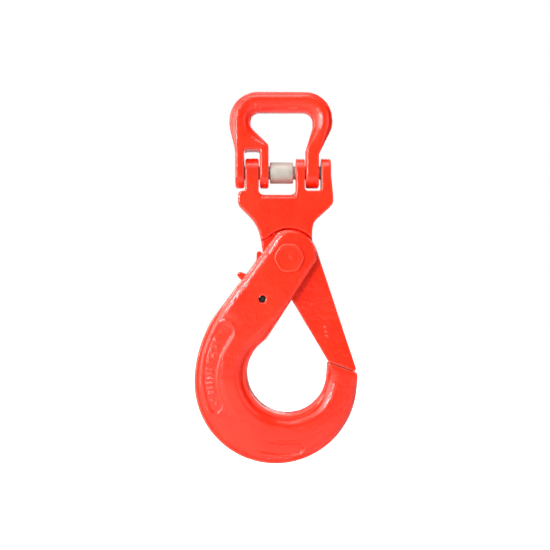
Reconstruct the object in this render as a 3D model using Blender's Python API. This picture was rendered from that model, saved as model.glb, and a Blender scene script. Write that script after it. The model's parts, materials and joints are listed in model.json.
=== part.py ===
"""Self-locking sling hook with a two-piece coupling at its head.

A forged top link carries the sling. It hinges on a cross pin in the forked head of the upper
body, whose long arm closes the hook. The hook body turns on a rivet through the upper body's
hub, and a spring-loaded trigger behind the rivet keeps it shut.

All sizes are in millimetres, and mesh_object() turns them into Blender's metres. The front view
is the X-Z plane, seen along +Y. The origin is the sling's seat, under the top link's bar.
Outlines are lists of (x, z) points, counter-clockwise as seen from the front.
"""

import math

import bmesh
import bpy
from mathutils import Vector, geometry

MM = 0.001

# --- Clearances -------------------------------------------------------------------------
CLEAR = 0.35  # between faces that touch on the real hook
BORE_CLEAR = 0.35  # all round a pin in its bore

# --- Coupling: top link, cross pin and bush ---------------------------------------------
LINK_INNER_HEIGHT = 38.0  # pin axis to the sling's seat
LINK_BAR = 13.0  # height of the link's top bar
LINK_HALF_WIDTH = 33.0
LINK_SIDE = 13.4  # width of its sides
LINK_CORNER = 19.0  # outer corner radius
LINK_HALF_DEPTH = 9.4  # at the legs
LINK_BAR_HALF_DEPTH = 8.2
LINK_EYE_RADIUS = 10.0  # round ends of the link's legs
LEG_HEIGHT = 14.0  # pin axis up to where the legs begin to spread
KNEE_HEIGHT = 28.5  # and up to where they have spread
PRONG = 5.8  # each prong of a fork
TAB = 8.6  # the upper body's single tab
LEG = 8.4  # the link's single leg
OUTER_EAR = 6.4
FORK_GAP = 0.5
LEG_PLAY = 1.2  # beyond the leg, where the pin shows
CROSS_PIN_RADIUS = 4.2
CROSS_PIN_RECESS = 0.8
BUSH_LENGTH = 14.6
BUSH_WALL = 2.2
BUSH_PLAY_LEFT = 0.7
BUSH_PLAY_RIGHT = 1.6
CLIP_WIDTH = 3.4
CLIP_DEPTH = 0.9  # how far the clip sits in the pin's waist

# --- Upper body -------------------------------------------------------------------------
COUPLING_TO_PIVOT = 54.0
PIVOT_OFFSET = 4.7  # the pivot lies this far to the arm's side of the pin's middle
BODY_HALF_DEPTH = 9.4
EAR_RADIUS = 9.3
SHOULDER_DROP = 11.6  # pin axis down to the shoulders
SADDLE_DROP = 14.2  # pin axis down to the floor between the ears
HUB_RADIUS = 18.2
HUB_HALF_DEPTH = 6.4
HUB_BACK_RADIUS = 12.4  # on the trigger's side
NECK_LEFT = 19.4  # the neck's waist, each side of the pivot
NECK_RIGHT = 14.4
ARM_TIP_HALF_DEPTH = 8.2
ARM_INNER_REACH = 11.9  # the arm's inner edge passes this far from the pivot
ARM_OUTER_REACH = 17.8

# --- Hook body --------------------------------------------------------------------------
PIVOT_TO_BOWL = 72.8
BOWL_OFFSET = -1.4
BOWL_RADIUS = 25.0
BOWL_BACK = 33.0  # thickness of the bowl behind, below and on the tip's side
BOWL_BOTTOM = 31.5
BOWL_FRONT = 19.6
PLATE_HALF_DEPTH = 14.0
TIP_HALF_DEPTH = 8.8
HEAD_RADIUS = 17.6  # round the rivet
SHANK_HALF_WIDTH = 15.3
BACK_FULLNESS = 4.8  # how far the back swells past the bowl's circle
BEAK_STEP = 2.7
BEAK_RADIUS = 9.0
TIP_RISE = 7.3  # mating face's inner corner above the bowl's centre
TIP_FLARE = 0.9
TIP_SLOPE = -19.6  # degrees
SLOT_PLAY = 0.4  # each side of the hub
SLOT_TILT = -15.0
OPEN_ANGLE = 34.0

# --- Rivet, trigger, its pin and spring -------------------------------------------------
RIVET_RADIUS = 7.0
RIVET_HEAD_OVERHANG = 2.25  # past the shank, at the head's rounded corners
RIVET_FLAT_OVERHANG = 1.9  # and at its flats
RIVET_HEAD = 1.4
TRIGGER_PIN_OFFSET = (-16.7, -25.6)  # from the pivot
TRIGGER_PIN_RADIUS = 2.0
TRIGGER_PIN_CLEAR = 0.3
TRIGGER_PIN_RECESS = 2.6
TRIGGER_HUB_WALL = 3.2
TRIGGER_HUB_GAP = 0.95  # to the slot's floor
TRIGGER_PLAY = 0.6  # to each side of the slot
TAB_PLACE = 27.0  # along the shank's back edge
TAB_REACH = 2.9
TAB_RADIUS = 1.8
TOOTH_ANGLE = 168.5  # of the hub's tooth, about the pivot
TOOTH_RADIUS = 16.9
TOOTH_ROOT_ANGLE = 182.5
TOOTH_GAP = 0.5  # between the tooth's face and the trigger's nose
SPRING_WIRE = 0.5  # radius
SPRING_TURNS = 3
SPRING_PITCH = 1.22
SPRING_LEG_ANGLE = 112.0
SPRING_FLOOR_LEG = 5.2
SPRING_GROOVE_LEG = 10.0
FAR = 200.0  # how far a cutter runs past what it cuts

# --- Fineness ---------------------------------------------------------------------------
ARC_STEP = 15.0  # degrees
ARC_EDGE = 4.5
LONGEST_EDGE = 7.0
EDGE_STEPS = 3
CAP_SPACING = 9.0
TURNED_SEGMENTS = 40

# --- Places that follow from the sizes --------------------------------------------------
COUPLING = Vector((0.0, -LINK_INNER_HEIGHT))
PIVOT = COUPLING + Vector((PIVOT_OFFSET, -COUPLING_TO_PIVOT))
BOWL = PIVOT + Vector((BOWL_OFFSET, -PIVOT_TO_BOWL))
TRIGGER_PIN = PIVOT + Vector(TRIGGER_PIN_OFFSET)
LINK_INNER_HALF = LINK_HALF_WIDTH - LINK_SIDE
BUSH_RADIUS = CROSS_PIN_RADIUS + BORE_CLEAR + BUSH_WALL
RIVET_HEAD_RADIUS = RIVET_RADIUS + RIVET_HEAD_OVERHANG
RIVET_HEAD_FLAT = RIVET_RADIUS + RIVET_FLAT_OVERHANG
SLOT_HALF_WIDTH = HUB_HALF_DEPTH + SLOT_PLAY
TRIGGER_HALF_WIDTH = SLOT_HALF_WIDTH - TRIGGER_PLAY
TRIGGER_HUB_RADIUS = TRIGGER_PIN_RADIUS + TRIGGER_HUB_WALL
TRIGGER_PIN_BORE = TRIGGER_PIN_RADIUS + TRIGGER_PIN_CLEAR
SPRING_COIL = TRIGGER_PIN_BORE + SPRING_WIRE + BORE_CLEAR
SPRING_ROOM = SPRING_PITCH * SPRING_TURNS + 2 * SPRING_WIRE + CLEAR
SPRING_SIDE = SLOT_HALF_WIDTH - SPRING_ROOM  # the trigger's pocket starts here
BOWL_OUTER_RADIUS = BOWL_RADIUS + (BOWL_BACK + BOWL_FRONT) / 2
BOWL_OUTER_CENTRE = BOWL + Vector(
    ((BOWL_FRONT - BOWL_BACK) / 2, (BOWL_BACK + BOWL_FRONT) / 2 - BOWL_BOTTOM)
)

# Faces of the coupling along X, from the bush outwards. The link's fork is on the left and
# the upper body's fork on the right.
INNER_PRONG_RIGHT = -BUSH_LENGTH / 2 - BUSH_PLAY_LEFT
INNER_PRONG_LEFT = INNER_PRONG_RIGHT - PRONG
TAB_RIGHT = INNER_PRONG_LEFT - FORK_GAP
TAB_LEFT = TAB_RIGHT - TAB
OUTER_PRONG_RIGHT = TAB_LEFT - FORK_GAP
OUTER_PRONG_LEFT = OUTER_PRONG_RIGHT - PRONG
INNER_EAR_LEFT = BUSH_LENGTH / 2 + BUSH_PLAY_RIGHT
INNER_EAR_RIGHT = INNER_EAR_LEFT + PRONG
LEG_LEFT = INNER_EAR_RIGHT + FORK_GAP
LEG_RIGHT = LEG_LEFT + LEG
OUTER_EAR_LEFT = LEG_RIGHT + LEG_PLAY
OUTER_EAR_RIGHT = OUTER_EAR_LEFT + OUTER_EAR


# --- Plane geometry ---------------------------------------------------------------------
def at_angle(degrees, radius=1.0):
    """The point at this angle and distance from the origin."""
    angle = math.radians(degrees)
    return Vector((radius * math.cos(angle), radius * math.sin(angle)))


def angle_of(vector):
    return math.degrees(math.atan2(vector.y, vector.x))


def arc(centre, radius, start, end):
    """Points along an arc, from one angle to another, in degrees."""
    length = radius * math.radians(abs(end - start))
    steps = max(1, math.ceil(abs(end - start) / ARC_STEP), math.ceil(length / ARC_EDGE))
    return [
        centre + at_angle(start + (end - start) * i / steps, radius)
        for i in range(steps + 1)
    ]


def rounded(corners):
    """A closed outline from corners (point, fillet radius); a plain point stays sharp. Two
    fillets that want more than the edge between them share it."""
    corners = [c if isinstance(c, tuple) else (c, 0.0) for c in corners]
    count = len(corners)
    turns, reaches = [], []
    for i, (corner, radius) in enumerate(corners):
        before = (corners[i - 1][0] - corner).normalized()
        after = (corners[(i + 1) % count][0] - corner).normalized()
        turns.append((before, after, before.angle(after) / 2))
        reaches.append(radius / math.tan(turns[-1][2]) if radius else 0.0)
    shares = [1.0] * count
    for i in range(count):
        j = (i + 1) % count
        wanted = reaches[i] + reaches[j]
        room = (corners[j][0] - corners[i][0]).length * 0.9
        if wanted > room:
            shares[i] = min(shares[i], room / wanted)
            shares[j] = min(shares[j], room / wanted)
    outline = []
    for (corner, radius), share, (before, after, half) in zip(corners, shares, turns):
        if radius == 0.0:
            outline.append(corner)
            continue
        radius *= share
        centre = corner + (before + after).normalized() * (radius / math.sin(half))
        start = corner + before * (radius / math.tan(half)) - centre
        end = corner + after * (radius / math.tan(half)) - centre
        turn = math.degrees(start.angle_signed(end))
        outline += arc(centre, radius, angle_of(start), angle_of(start) - turn)
    return outline


def divided(outline):
    """The outline with its long edges split."""
    points = []
    for a, b in zip(outline, outline[1:] + outline[:1]):
        pieces = max(1, math.ceil((b - a).length / LONGEST_EDGE))
        points += [a.lerp(b, i / pieces) for i in range(pieces)]
    return points


def common_tangent(centre_a, radius_a, centre_b, radius_b, side):
    """The angle of the normal of the line that touches two circles, on the given side. A
    negative radius puts that circle on the line's other side."""
    across = centre_b - centre_a
    return angle_of(across) + side * math.degrees(
        math.acos((radius_a - radius_b) / across.length)
    )


def smooth(value, low, high):
    """0 below low, 1 above high, and an even ramp between them."""
    t = min(1.0, max(0.0, (value - low) / (high - low)))
    return t * t * (3 - 2 * t)


# --- Meshes -----------------------------------------------------------------------------
def mesh_object(name, points, faces, origin=(0.0, 0.0, 0.0)):
    """A closed mesh from points in millimetres, with the object's origin at origin."""
    origin = Vector(origin)
    mesh = bpy.data.meshes.new(name)
    mesh.from_pydata([(Vector(p) - origin) * MM for p in points], [], faces)
    shape = bmesh.new()
    shape.from_mesh(mesh)
    bmesh.ops.recalc_face_normals(shape, faces=shape.faces)
    shape.to_mesh(mesh)
    shape.free()
    obj = bpy.data.objects.new(name, mesh)
    bpy.context.scene.collection.objects.link(obj)
    obj.location = origin * MM
    return obj


def forging(name, outline, half_depth, edge, origin):
    """A drop forging, the same on both sides of its parting plane y = 0. half_depth(point) is
    its half thickness there. edge(point) rounds its edges by a quarter of an ellipse: how far
    in from the outline, and how deep."""
    outline = divided(outline)
    count = len(outline)
    normals = []
    for i, point in enumerate(outline):
        along = (point - outline[i - 1]).normalized()
        along += (outline[(i + 1) % count] - point).normalized()
        normals.append(Vector((-along.y, along.x)).normalized())
    rings = []
    for step in range(EDGE_STEPS + 1):
        angle = math.pi / 2 * step / EDGE_STEPS
        ring = []
        for point, inward in zip(outline, normals):
            reach, drop = edge(point)
            spot = point + inward * reach * (1 - math.cos(angle))
            depth = half_depth(point) - drop * (1 - math.sin(angle))
            ring.append((spot, depth))
        rings.append(ring)
    rim = [spot for spot, _ in rings[-1]]
    inner_points, triangles = filled(rim)
    points = [(spot.x, -depth, spot.y) for ring in rings for spot, depth in ring]
    points += [(spot.x, -half_depth(spot), spot.y) for spot in inner_points]
    back = len(points)
    points += [(x, -y, z) for x, y, z in points]
    faces = []
    for step in range(EDGE_STEPS):
        for i in range(count):
            j = (i + 1) % count
            a, b = step * count, (step + 1) * count
            faces.append((a + i, a + j, b + j, b + i))
            faces.append((back + a + i, back + b + i, back + b + j, back + a + j))
    for i in range(count):
        j = (i + 1) % count
        faces.append((i, back + i, back + j, j))
    first = EDGE_STEPS * count
    for triangle in triangles:
        faces.append(tuple(first + v for v in triangle))
        faces.append(tuple(back + first + v for v in reversed(triangle)))
    return mesh_object(name, points, faces, origin)


def filled(rim):
    """Points on an even grid inside rim, and the triangles that join rim and grid."""
    low_x, high_x = min(p.x for p in rim), max(p.x for p in rim)
    low_z, high_z = min(p.y for p in rim), max(p.y for p in rim)
    grid = []
    for row in range(1, int((high_z - low_z) / CAP_SPACING) + 1):
        for column in range(1, int((high_x - low_x) / CAP_SPACING) + 1):
            spot = Vector((low_x + column * CAP_SPACING, low_z + row * CAP_SPACING))
            if inside(spot, rim) and far_from(spot, rim, CAP_SPACING * 0.45):
                grid.append(spot)
    edges = [(i, (i + 1) % len(rim)) for i in range(len(rim))]
    found = geometry.delaunay_2d_cdt(rim + grid, edges, [], 1, 1e-6)
    sources = [origin[0] for origin in found[3]]
    triangles = []
    for face in found[2]:
        middle = sum((found[0][v] for v in face), Vector((0.0, 0.0))) / len(face)
        if inside(middle, rim):
            triangles.append([sources[v] for v in face])
    return grid, triangles


def inside(point, rim):
    """True if point lies in the closed outline rim."""
    crossings = 0
    for a, b in zip(rim, rim[1:] + rim[:1]):
        if (a.y > point.y) != (b.y > point.y):
            if point.x < a.x + (point.y - a.y) * (b.x - a.x) / (b.y - a.y):
                crossings += 1
    return crossings % 2 == 1


def far_from(point, rim, distance):
    for a, b in zip(rim, rim[1:] + rim[:1]):
        near = geometry.intersect_point_line(point, a, b)
        share = min(1.0, max(0.0, near[1]))
        if (a.lerp(b, share) - point).length < distance:
            return False
    return True


def prism(name, outline, front, back, origin=(0.0, 0.0, 0.0)):
    """The outline extruded along Y, from front to back."""
    count = len(outline)
    points = [(p.x, y, p.y) for y in (front, back) for p in outline]
    faces = [tuple(range(count)), tuple(range(2 * count - 1, count - 1, -1))]
    for i in range(count):
        j = (i + 1) % count
        faces.append((i, count + i, count + j, j))
    return mesh_object(name, points, faces, origin)


def turned(name, profile, ring=False):
    """A part turned about its own Y axis from profile, pairs of (place along Y, radius). A
    radius may be a function of the angle. A ring's profile is a closed loop."""
    points, rows = [], []
    for along, radius in profile:
        row = []
        if radius == 0.0:
            row = [len(points)] * TURNED_SEGMENTS
            points.append((0.0, along, 0.0))
        else:
            for i in range(TURNED_SEGMENTS):
                angle = 360.0 * i / TURNED_SEGMENTS
                size = radius(angle) if callable(radius) else radius
                spot = at_angle(angle, size)
                row.append(len(points))
                points.append((spot.x, along, spot.y))
        rows.append(row)
    faces = []
    for a, b in zip(rows, rows[1:] + (rows[:1] if ring else [])):
        for i in range(TURNED_SEGMENTS):
            j = (i + 1) % TURNED_SEGMENTS
            corners = list(dict.fromkeys((a[i], a[j], b[j], b[i])))
            if len(corners) > 2:
                faces.append(corners)
    return mesh_object(name, points, faces)


def split_ring(outer, inner, gap_angle, half_gap):
    """The outline of a ring with a slit in it, round the origin."""
    start, end = gap_angle + half_gap, gap_angle + 360 - half_gap
    middle = Vector((0.0, 0.0))
    return arc(middle, outer, start, end) + arc(middle, inner, end, start)


# --- Cutting and placing ----------------------------------------------------------------
def cut(obj, cutter, operation="DIFFERENCE"):
    """Cuts obj with a helper object, which stays out of the model."""
    modifier = obj.modifiers.new(cutter.name, "BOOLEAN")
    modifier.object = cutter
    modifier.operation = operation
    modifier.solver = "EXACT"
    cutter.hide_render = True
    cutter.display_type = "WIRE"


def bore(obj, name, centre, radius, axis="Y"):
    """A hole right through obj, along Y or X, at centre in the front view."""
    cutter = turned(name, [(-FAR, 0.0), (-FAR, radius), (FAR, radius), (FAR, 0.0)])
    cutter.location = Vector((centre.x, 0.0, centre.y)) * MM
    if axis == "X":
        cutter.rotation_euler = (0.0, 0.0, -math.pi / 2)
    cut(obj, cutter)


def side_profile(obj, name, outline):
    """Trims obj to an outline of (y, z) points in the side view."""
    cutter = prism(name, outline, -FAR, FAR)
    cutter.rotation_euler = (0.0, 0.0, math.pi / 2)
    cut(obj, cutter, "INTERSECT")


def attach(obj, parent):
    """Parents obj where it stands."""
    bpy.context.view_layer.update()
    obj.parent = parent
    obj.matrix_parent_inverse = parent.matrix_world.inverted()


def axis_empty(name, centre, parent=None):
    """An empty on a joint's axis, which carries the pieces that turn there."""
    empty = bpy.data.objects.new(name, None)
    bpy.context.scene.collection.objects.link(empty)
    empty.location = Vector((centre.x, 0.0, centre.y)) * MM
    if parent:
        attach(empty, parent)
    return empty


def material(name, colour, roughness, metallic):
    made = bpy.data.materials.new(name)
    made.use_nodes = True
    shader = made.node_tree.nodes["Principled BSDF"]
    shader.inputs["Base Color"].default_value = (*colour, 1.0)
    shader.inputs["Roughness"].default_value = roughness
    shader.inputs["Metallic"].default_value = metallic
    return made


def finish(obj, parent, paint):
    """Material, smooth shading and parent of a finished part."""
    obj.data.materials.append(paint)
    obj.data.shade_smooth()
    obj.data.set_sharp_from_angle(angle=math.radians(35))
    attach(obj, parent)


# --- Top link ---------------------------------------------------------------------------
def link_outline():
    """The link's front outline: its fork on the left and its single leg on the right."""
    seat = COUPLING.y + LINK_INNER_HEIGHT
    top = seat + LINK_BAR
    foot = COUPLING.y - LINK_EYE_RADIUS
    waist = COUPLING.y + LEG_HEIGHT
    knee = COUPLING.y + KNEE_HEIGHT
    toe, crotch, left_corner, right_corner = 1.6, 2.5, 5.0, 6.0
    right_side = LINK_HALF_WIDTH - 0.6
    return rounded(
        [
            (Vector((OUTER_PRONG_LEFT, foot)), toe),
            (Vector((OUTER_PRONG_RIGHT, foot)), toe),
            (Vector((OUTER_PRONG_RIGHT, waist)), toe),
            (Vector((INNER_PRONG_LEFT, waist)), toe),
            (Vector((INNER_PRONG_LEFT, foot)), toe),
            (Vector((INNER_PRONG_RIGHT, foot)), toe),
            (Vector((INNER_PRONG_RIGHT, waist + 3.0)), crotch),
            (Vector((-LINK_INNER_HALF, knee + 0.6)), left_corner),
            (Vector((-LINK_INNER_HALF + 1.0, seat)), left_corner),
            (Vector((LINK_INNER_HALF, seat)), right_corner),
            (Vector((LINK_INNER_HALF, knee)), right_corner + 1.0),
            (Vector((LEG_LEFT, waist)), 2.0),
            (Vector((LEG_LEFT, foot)), toe),
            (Vector((LEG_RIGHT, foot)), toe),
            (Vector((LEG_RIGHT, waist - 3.0)), crotch),
            (Vector((right_side, knee)), 12.0),
            (Vector((right_side, top)), LINK_CORNER),
            (Vector((-LINK_HALF_WIDTH, top)), LINK_CORNER),
            (Vector((-LINK_HALF_WIDTH, knee + 0.5)), 14.0),
            (Vector((OUTER_PRONG_LEFT, waist)), 16.0),
        ]
    )


def link_half_depth(point):
    height = point.y - COUPLING.y
    thin = smooth(height, LINK_EYE_RADIUS + 2, LINK_INNER_HEIGHT - 8)
    return LINK_HALF_DEPTH + (LINK_BAR_HALF_DEPTH - LINK_HALF_DEPTH) * thin


def link_edge(point):
    """Rounder above the legs, and most of all round the opening, which the sling bears on."""
    leg_edge, bar_edge = 1.3, 4.6
    opening_reach, opening_drop = 7.6, 5.6
    height = point.y - COUPLING.y
    spread = smooth(height, LINK_EYE_RADIUS + 2, LINK_INNER_HEIGHT - 10)
    reach = leg_edge + (bar_edge - leg_edge) * spread
    if abs(point.x) > LINK_INNER_HALF + 0.5 or height > LINK_INNER_HEIGHT + 0.5:
        return reach, reach
    high = smooth(height, LINK_INNER_HEIGHT - 13, LINK_INNER_HEIGHT - 3)
    return reach + (opening_reach - bar_edge) * high, reach + (opening_drop - bar_edge) * high


def eye_profile(centre_z, radius, half_depth):
    """A side view (y, z) outline: a round eye on the pin axis, flattened to the half depth, that
    runs on upwards."""
    meet = math.degrees(math.acos(min(1.0, half_depth / radius)))
    cap = arc(Vector((0.0, centre_z)), radius, 180.0 + meet, 360.0 - meet)
    return cap + [Vector((cap[-1].x, centre_z + FAR)), Vector((cap[0].x, centre_z + FAR))]


def make_top_link(parent, paint):
    link = forging(
        "top_link",
        link_outline(),
        link_half_depth,
        link_edge,
        (COUPLING.x, 0.0, COUPLING.y),
    )
    profile = eye_profile(COUPLING.y, LINK_EYE_RADIUS, LINK_HALF_DEPTH)
    side_profile(link, "link_side_cutter", profile)
    bore(link, "link_bore_cutter", COUPLING, CROSS_PIN_RADIUS + BORE_CLEAR, "X")
    finish(link, parent, paint)


# --- Cross pin, bush and clip -----------------------------------------------------------
def lay_along_x(obj, centre_x):
    """Turns a part made along Y to lie along X on the coupling's axis."""
    obj.rotation_euler = (0.0, 0.0, -math.pi / 2)
    obj.location = Vector((centre_x, 0.0, COUPLING.y)) * MM


def make_cross_pin(parent, steel):
    left = OUTER_PRONG_LEFT + CROSS_PIN_RECESS
    right = OUTER_EAR_RIGHT - CROSS_PIN_RECESS
    chamfer = 1.0
    waist = CROSS_PIN_RADIUS - CLIP_DEPTH
    half_waist = CLIP_WIDTH / 2 + CLEAR
    slope = CLIP_DEPTH
    radius = CROSS_PIN_RADIUS
    profile = [
        (left, 0.0),
        (left, radius - chamfer),
        (left + chamfer, radius),
        (-half_waist - slope, radius),
        (-half_waist, waist),
        (half_waist, waist),
        (half_waist + slope, radius),
        (right - chamfer, radius),
        (right, radius - chamfer),
        (right, 0.0),
    ]
    pin = turned("coupling_pin", profile)
    lay_along_x(pin, 0.0)
    finish(pin, parent, steel)


def make_bush(parent, steel):
    half = BUSH_LENGTH / 2
    chamfer = 0.7
    inner = CROSS_PIN_RADIUS + BORE_CLEAR
    groove = inner + CLIP_DEPTH
    half_groove = CLIP_WIDTH / 2 + CLEAR
    profile = [
        (-half, inner),
        (-half, BUSH_RADIUS - chamfer),
        (-half + chamfer, BUSH_RADIUS),
        (half - chamfer, BUSH_RADIUS),
        (half, BUSH_RADIUS - chamfer),
        (half, inner),
        (half_groove, inner),
        (half_groove, groove),
        (-half_groove, groove),
        (-half_groove, inner),
    ]
    bush = turned("coupling_bush", profile, ring=True)
    lay_along_x(bush, 0.0)
    finish(bush, parent, steel)


def make_bush_clip(parent, steel):
    """The sprung C ring that holds the bush on the pin's waist."""
    outer = CROSS_PIN_RADIUS + BORE_CLEAR + CLIP_DEPTH - CLEAR
    inner = CROSS_PIN_RADIUS - CLIP_DEPTH + CLEAR
    outline = split_ring(outer, inner, 90.0, 14.0)
    clip = prism("bush_clip", outline, -CLIP_WIDTH / 2, CLIP_WIDTH / 2)
    lay_along_x(clip, 0.0)
    finish(clip, parent, steel)


# --- Mating face between the hook's tip and the upper body's arm ------------------------
def tip_corners():
    """Inner and outer corner of the hook's tip: the mating line cut off by the bowl's outer
    circle."""
    inner = BOWL + Vector((BOWL_RADIUS + TIP_FLARE, TIP_RISE))
    along = at_angle(TIP_SLOPE)
    offset = inner - BOWL_OUTER_CENTRE
    b = offset.dot(along)
    reach = -b + math.sqrt(b * b - offset.length_squared + BOWL_OUTER_RADIUS**2)
    return inner, inner + along * reach


# --- Upper body -------------------------------------------------------------------------
def tangent_normal(point, centre, radius, side):
    """The angle of the normal of the line through point that touches a circle."""
    return common_tangent(centre, radius, point, 0.0, side)


def tooth_face():
    """Tip and root of the hub's tooth, which the trigger's nose blocks."""
    tip = PIVOT + at_angle(TOOTH_ANGLE, TOOTH_RADIUS)
    return tip, PIVOT + at_angle(TOOTH_ROOT_ANGLE, HUB_BACK_RADIUS)


def body_outline():
    """Front outline of the upper body, down the left side from the single tab."""
    ear_top = COUPLING.y + EAR_RADIUS
    shoulder = COUPLING.y - SHOULDER_DROP
    saddle = COUPLING.y - SADDLE_DROP
    toe = 1.4
    tip_inner, tip_outer = tip_corners()
    lift = at_angle(TIP_SLOPE + 90, CLEAR)
    inner_normal = tangent_normal(tip_inner, PIVOT, ARM_INNER_REACH, -1) % 360
    outer_normal = tangent_normal(tip_outer, PIVOT, ARM_OUTER_REACH, 1)
    hub_end = inner_normal + math.degrees(math.acos(ARM_INNER_REACH / HUB_BACK_RADIUS))
    tooth, _ = tooth_face()
    hub_back = arc(PIVOT, HUB_BACK_RADIUS, TOOTH_ROOT_ANGLE, hub_end)
    hub_front = arc(PIVOT, HUB_RADIUS, outer_normal, 36.0)
    shoulder_left = TAB_LEFT - 4.5
    neck_left = PIVOT.x - NECK_LEFT
    neck_right = PIVOT.x + NECK_RIGHT
    hip = OUTER_EAR_RIGHT + 1.3
    return rounded(
        [
            (Vector((TAB_LEFT, ear_top)), toe),
            (Vector((TAB_LEFT, shoulder)), toe),
            (Vector((shoulder_left, shoulder - 0.8)), 2.2),
            (Vector((shoulder_left, shoulder - 9.0)), 4.0),
            (Vector((neck_left, PIVOT.y + 21.0)), 26.0),
            tooth,
            *hub_back,
            (tip_inner + lift, 1.3),
            (tip_outer + lift, 1.4),
            *hub_front,
            (Vector((neck_right, PIVOT.y + 14.5)), 5.0),
            (Vector((neck_right + 0.8, PIVOT.y + 22.5)), 9.0),
            (Vector((hip, shoulder - 8.4)), 4.5),
            (Vector((hip, shoulder - 3.4)), 2.0),
            (Vector((OUTER_EAR_RIGHT, COUPLING.y - 2.0)), 6.0),
            (Vector((OUTER_EAR_RIGHT, ear_top)), toe),
            (Vector((OUTER_EAR_LEFT, ear_top)), toe),
            (Vector((OUTER_EAR_LEFT, shoulder)), toe),
            (Vector((INNER_EAR_RIGHT, shoulder)), toe),
            (Vector((INNER_EAR_RIGHT, ear_top)), toe),
            (Vector((INNER_EAR_LEFT, ear_top)), toe),
            (Vector((INNER_EAR_LEFT, saddle)), 3.2),
            (Vector((TAB_RIGHT, saddle)), 3.2),
            (Vector((TAB_RIGHT, ear_top)), toe),
        ]
    )


def body_edge(point):
    """Small on the ears, hub and arm, larger on the saddle between the ears."""
    plain, saddle = 1.1, 2.4
    height = COUPLING.y - SADDLE_DROP - point.y
    if abs(height) < 3.0 and TAB_RIGHT < point.x < INNER_EAR_LEFT:
        plain += (saddle - plain) * (1 - smooth(abs(height), 0.5, 3.0))
    return plain, plain


def body_side_profile():
    """Side view: round ears, a thick neck, the thin hub and an arm that thickens again."""
    neck_end = PIVOT.y + 6.0
    right = [
        Vector((ARM_TIP_HALF_DEPTH, BOWL.y - 10.0)),
        Vector((ARM_TIP_HALF_DEPTH, BOWL.y)),
        Vector((HUB_HALF_DEPTH, PIVOT.y - slot_depth() - 4.0)),
        Vector((HUB_HALF_DEPTH, neck_end)),
        Vector((EAR_RADIUS, neck_end + 1.0)),
        *arc(Vector((0.0, COUPLING.y)), EAR_RADIUS, 0.0, 90.0),
    ]
    return right + [Vector((-p.x, p.y)) for p in reversed(right[:-1])]


def plate_sweep_outline():
    """What the hook's round plates sweep as the hook opens, seen from the upper body."""
    over_travel = 2.0
    back_normal = shank_back_normal() - OPEN_ANGLE - over_travel
    reach = SHANK_HALF_WIDTH + 2 * CLEAR
    head = HEAD_RADIUS + 3 * CLEAR
    meet = back_normal + math.degrees(math.acos(reach / head))
    cap = arc(PIVOT, head, -60.0, meet)
    along = at_angle(back_normal + 90.0)
    return cap + [cap[-1] + along * 60.0, PIVOT + Vector((-60.0, -60.0))]


def make_upper_body(parent, paint):
    body = forging(
        "upper_body",
        body_outline(),
        lambda point: BODY_HALF_DEPTH,
        body_edge,
        (COUPLING.x, 0.0, COUPLING.y),
    )
    side_profile(body, "body_side_cutter", body_side_profile())
    sweep = plate_sweep_outline()
    for side, name in ((-1, "front"), (1, "back")):
        near, far = sorted((side * HUB_HALF_DEPTH, side * FAR))
        cut(body, prism(f"body_{name}_cutter", sweep, near, far))
    bore(body, "body_bore_cutter", COUPLING, CROSS_PIN_RADIUS + BORE_CLEAR, "X")
    bore(body, "hub_bore_cutter", PIVOT, RIVET_RADIUS + BORE_CLEAR)
    finish(body, parent, paint)


# --- Hook body --------------------------------------------------------------------------
def shank_back_normal():
    """The back of the shank touches a circle round the pivot and one round the bowl."""
    bowl_reach = BOWL_OUTER_RADIUS + BACK_FULLNESS
    return common_tangent(PIVOT, SHANK_HALF_WIDTH, BOWL_OUTER_CENTRE, bowl_reach, -1) % 360


def shank_front_normal():
    """The shank's front passes the pivot on one side and the bowl's centre on the other."""
    return common_tangent(PIVOT, SHANK_HALF_WIDTH, BOWL, BEAK_STEP - BOWL_RADIUS, 1)


def beak_centre():
    """Centre of the fillet between the bowl's inner circle and the shank's front."""
    normal = at_angle(shank_front_normal())
    along = Vector((-normal.y, normal.x))
    start = PIVOT + normal * (SHANK_HALF_WIDTH - BEAK_RADIUS) - BOWL
    b = start.dot(along)
    span = b * b - start.length_squared + (BOWL_RADIUS + BEAK_RADIUS) ** 2
    return BOWL + start + along * (-b + math.sqrt(span))


def hook_outline():
    """From the tip round the bowl's outside, up the back, round the rivet and down inside."""
    tip_inner, tip_outer = tip_corners()
    back = shank_back_normal()
    front = shank_front_normal()
    swell = BACK_FULLNESS / (1 + at_angle(back).x)
    back_centre = BOWL_OUTER_CENTRE + Vector((swell, 0.0))
    tip_angle = angle_of(tip_outer - BOWL_OUTER_CENTRE)
    beak = beak_centre()
    beak_angle = angle_of(BOWL - beak) % 360
    head_start = front + math.degrees(math.acos(SHANK_HALF_WIDTH / HEAD_RADIUS))
    head_end = back - math.degrees(math.acos(SHANK_HALF_WIDTH / HEAD_RADIUS))
    bowl_end = angle_of(beak - BOWL)
    corners = [
        (tip_inner, 1.0),
        *arc(BOWL, BOWL_RADIUS, 0.0, bowl_end - 360.0),
        *arc(beak, BEAK_RADIUS, beak_angle, front + 360.0)[1:],
        *arc(PIVOT, HEAD_RADIUS, head_start, head_end),
        *arc(back_centre, BOWL_OUTER_RADIUS + swell, back, 180.0),
        *arc(BOWL_OUTER_CENTRE, BOWL_OUTER_RADIUS, 180.0, 360.0 + tip_angle - 4.0)[1:],
        (tip_outer, 1.4),
    ]
    return rounded(corners)


def bowl_sweep(point):
    """How far round the bowl a point lies, in degrees: 180 at the back, 270 at the bottom and
    360 at the tip's side. The shank above the bowl counts as 90."""
    offset = point - BOWL
    if offset.y > TIP_RISE + 4.0:
        return 90.0
    angle = angle_of(offset)
    return angle + 360.0 if angle < 90.0 else angle


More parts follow.
